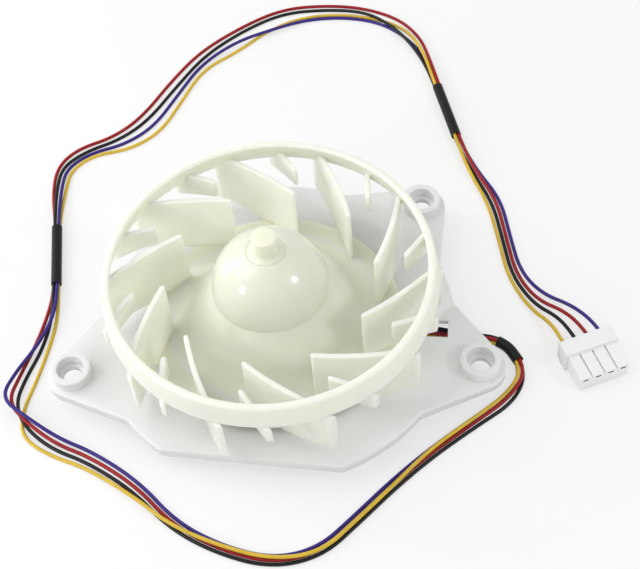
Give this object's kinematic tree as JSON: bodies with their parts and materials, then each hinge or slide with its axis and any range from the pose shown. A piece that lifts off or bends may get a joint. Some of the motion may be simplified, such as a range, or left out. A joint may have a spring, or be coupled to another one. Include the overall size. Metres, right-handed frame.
{
  "type": "evaporator fan motor",
  "caption": "Small brushless fan motor on a flat plate with screw ears, carrying a translucent radial impeller, with a long looped wire lead ending in a white crimp connector.",
  "frame": {"origin": "on the resting face of the back cover, under the shaft's axis", "axes": "+Z along the shaft from the back cover to the impeller's peg; +X towards the side where the lead leaves and where the connector lies; +Y away from the viewer of the picture"},
  "size_m": [0.2089, 0.2502, 0.0583],
  "materials": {
    "dark_plastic": "satin",
    "board": "satin",
    "chip": "matt",
    "can": "satin",
    "socket_plastic": "satin",
    "white_plastic": "satin",
    "zinc_steel": "satin",
    "bronze": "matt",
    "bearing_plastic": "satin",
    "spring_steel": "satin",
    "shaft_steel": "bright",
    "core_steel": "matt",
    "insulator_plastic": "satin",
    "pin_metal": "bright",
    "copper": "satin",
    "ferrite": "matt",
    "brass": "satin",
    "natural_plastic": "gloss",
    "yellow_jacket": "satin",
    "black_jacket": "satin",
    "red_jacket": "satin",
    "blue_jacket": "satin",
    "sleeve_plastic": "satin",
    "connector_plastic": "satin",
    "tin": "bright"
  },
  "bodies": {
    "frame": {"back_cover": "dark_plastic", "circuit_board": "board", "driver_chip": "chip", "capacitor": "can", "hall_sensor": "chip", "board_socket": "socket_plastic", "mounting_plate": "white_plastic", "cover_screws": "zinc_steel", "bearing_tube": "zinc_steel", "lower_bearing": "bronze", "upper_bearing": "bronze", "thrust_pad": "bearing_plastic", "thrust_washer": "bearing_plastic", "stator_core": "core_steel", "lower_insulator": "insulator_plastic", "upper_insulator": "insulator_plastic", "winding_pins": "pin_metal", "coil_windings": "copper", "wire_yellow": "yellow_jacket", "wire_black": "black_jacket", "wire_red": "red_jacket", "wire_blue": "blue_jacket", "sleeve_exit": "sleeve_plastic", "sleeve_left": "sleeve_plastic", "sleeve_top": "sleeve_plastic", "connector_housing": "connector_plastic", "connector_terminals": "tin"},
    "rotor": {"impeller": "natural_plastic", "shaft": "shaft_steel", "shaft_bushing": "brass", "rotor_yoke": "zinc_steel", "rotor_magnet": "ferrite", "retaining_ring": "spring_steel"}
  },
  "joints": [
    {"name": "impeller_spin", "type": "hinge", "parent": "frame", "child": "rotor", "pos_m": [0, 0, 0.025], "axis": [0, 0, 1], "continuous": true}
  ]
}
